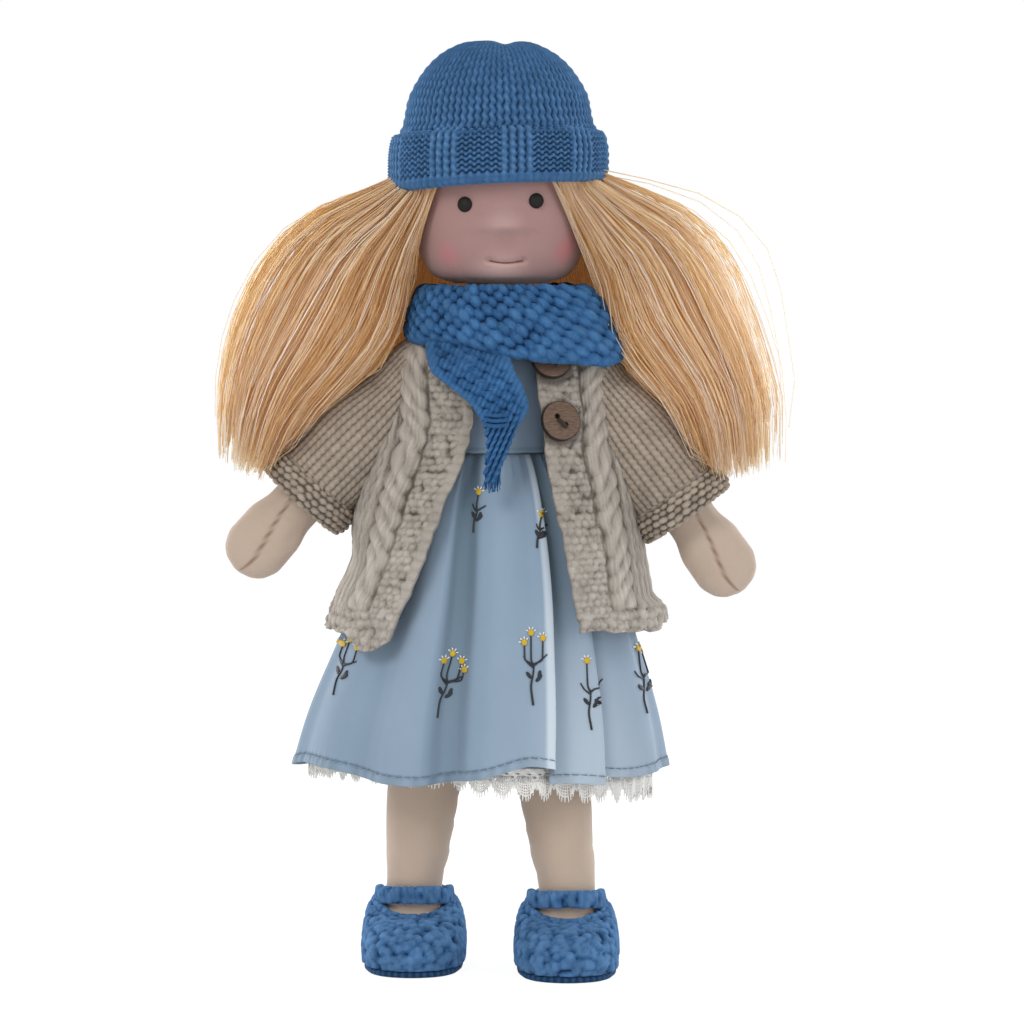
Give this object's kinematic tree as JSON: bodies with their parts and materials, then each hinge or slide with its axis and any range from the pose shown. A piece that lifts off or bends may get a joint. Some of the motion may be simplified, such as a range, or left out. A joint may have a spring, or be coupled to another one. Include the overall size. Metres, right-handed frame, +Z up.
{
  "type": "waldorf doll",
  "caption": "Soft jointed rag doll in knitted hat, scarf and cardigan over a blue cotton dress, standing on flat slipper soles.",
  "frame": {"origin": "middle of the footprint box on the floor, level with the soles", "axes": "+Z up, the doll faces -Y and its own left is +X"},
  "size_m": [0.25, 0.1152, 0.416],
  "materials": {
    "body_cloth": "matt cotton jersey",
    "face_cloth": "matt cotton jersey, flushed cheeks",
    "bead": "polished black bead",
    "thread": "twisted cotton thread",
    "hair": "long strawberry blond fibre",
    "blue_knit": "hand-knitted mid blue yarn",
    "oat_knit": "hand-knitted oatmeal wool",
    "button_wood": "dark turned wood",
    "dress_cotton": "pale blue cotton with embroidered sprigs",
    "white_cotton": "plain white cotton",
    "lace": "white cotton lace",
    "boucle": "looped blue yarn"
  },
  "bodies": {
    "torso": {"torso": "body_cloth", "dress_bodice": "dress_cotton", "cardigan_back": "oat_knit", "cardigan_left_front": "oat_knit", "cardigan_right_front": "oat_knit", "upper_button": "button_wood", "lower_button": "button_wood", "upper_button_thread": "thread", "lower_button_thread": "thread", "scarf": "blue_knit"},
    "neck": {"neck": "body_cloth"},
    "head": {"head": "face_cloth", "left_eye": "bead", "right_eye": "bead", "mouth_stitch": "thread", "hair_cap": "hair", "hair_left": "hair", "hair_right": "hair", "hair_back": "hair"},
    "hat": {"hat": "blue_knit"},
    "hips": {"hip_seam": "body_cloth", "skirt": "dress_cotton", "petticoat": "white_cotton", "petticoat_lace": "lace"},
    "right_shoulder": {"right_shoulder_seam": "body_cloth"},
    "right_arm": {"right_arm": "body_cloth", "right_sleeve": "oat_knit"},
    "right_leg": {"right_leg": "body_cloth", "right_shoe_upper": "boucle", "right_shoe_sole": "boucle"},
    "left_shoulder": {"left_shoulder_seam": "body_cloth"},
    "left_arm": {"left_arm": "body_cloth", "left_sleeve": "oat_knit"},
    "left_leg": {"left_leg": "body_cloth", "left_shoe_upper": "boucle", "left_shoe_sole": "boucle"}
  },
  "joints": [
    {"name": "head_turn", "type": "hinge", "parent": "torso", "child": "neck", "pos_m": [0, 0, 0.2864], "axis": [0, 0, 1], "range_deg": [-45, 45], "deforming": ["hair_left", "hair_right", "hair_back", "scarf"]},
    {"name": "head_nod", "type": "hinge", "parent": "neck", "child": "head", "pos_m": [0, 0, 0.308], "axis": [1, 0, 0], "range_deg": [-15, 20]},
    {"name": "hat_lift", "type": "slide", "parent": "head", "child": "hat", "axis": [0, 0, 1], "range_m": [0, 0.09]},
    {"name": "sit_bend", "type": "hinge", "parent": "torso", "child": "hips", "pos_m": [0, 0, 0.15], "axis": [-1, 0, 0], "range_deg": [0, 75], "deforming": ["skirt", "petticoat", "petticoat_lace", "cardigan_back", "cardigan_left_front", "cardigan_right_front"]},
    {"name": "right_arm_swing", "type": "hinge", "parent": "torso", "child": "right_shoulder", "pos_m": [-0.036, 0, 0.267], "axis": [-1, 0, 0], "range_deg": [-40, 85]},
    {"name": "right_arm_raise", "type": "hinge", "parent": "right_shoulder", "child": "right_arm", "pos_m": [-0.036, 0, 0.267], "axis": [0, 1, 0], "range_deg": [-5, 70]},
    {"name": "left_arm_swing", "type": "hinge", "parent": "torso", "child": "left_shoulder", "pos_m": [0.04, 0, 0.267], "axis": [-1, 0, 0], "range_deg": [-40, 85]},
    {"name": "left_arm_raise", "type": "hinge", "parent": "left_shoulder", "child": "left_arm", "pos_m": [0.04, 0, 0.267], "axis": [0, -1, 0], "range_deg": [-5, 70]},
    {"name": "right_hip_swing", "type": "hinge", "parent": "hips", "child": "right_leg", "pos_m": [-0.027, 0, 0.15], "axis": [-1, 0, 0], "range_deg": [-20, 20]},
    {"name": "left_hip_swing", "type": "hinge", "parent": "hips", "child": "left_leg", "pos_m": [0.017, 0, 0.15], "axis": [-1, 0, 0], "range_deg": [-20, 20]}
  ]
}
